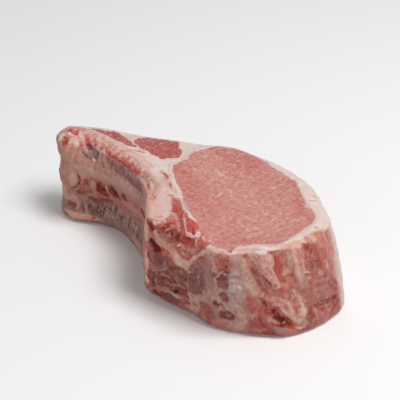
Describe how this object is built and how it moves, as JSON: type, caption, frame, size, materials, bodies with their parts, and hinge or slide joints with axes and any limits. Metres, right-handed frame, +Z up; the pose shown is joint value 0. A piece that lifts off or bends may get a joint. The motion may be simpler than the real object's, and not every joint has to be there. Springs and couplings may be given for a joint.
{
  "type": "raw pork chop",
  "caption": "Thick raw bone-in pork rib chop lying on a cut face, with a pale loin eye, a fat edge, a curved rib along its hollow side and a sawn spine end.",
  "frame": {"origin": "on the table, under the middle of the chop's bounding box", "axes": "+X from the rib's tip towards the back fat, the chop's longest extent; +Y across the chop, away from its sawn spine side; +Z up, through the chop's thickness, its shortest extent"},
  "size_m": [0.1768, 0.0898, 0.0503],
  "materials": {
    "meat": "moist raw pork, with pink lean, white fat and thin shiny membrane",
    "bone": "freshly sawn bone, cream and pale pink with dark red marrow"
  },
  "bodies": {
    "root": {"meat": "meat", "rib_bone": "bone"}
  },
  "joints": []
}
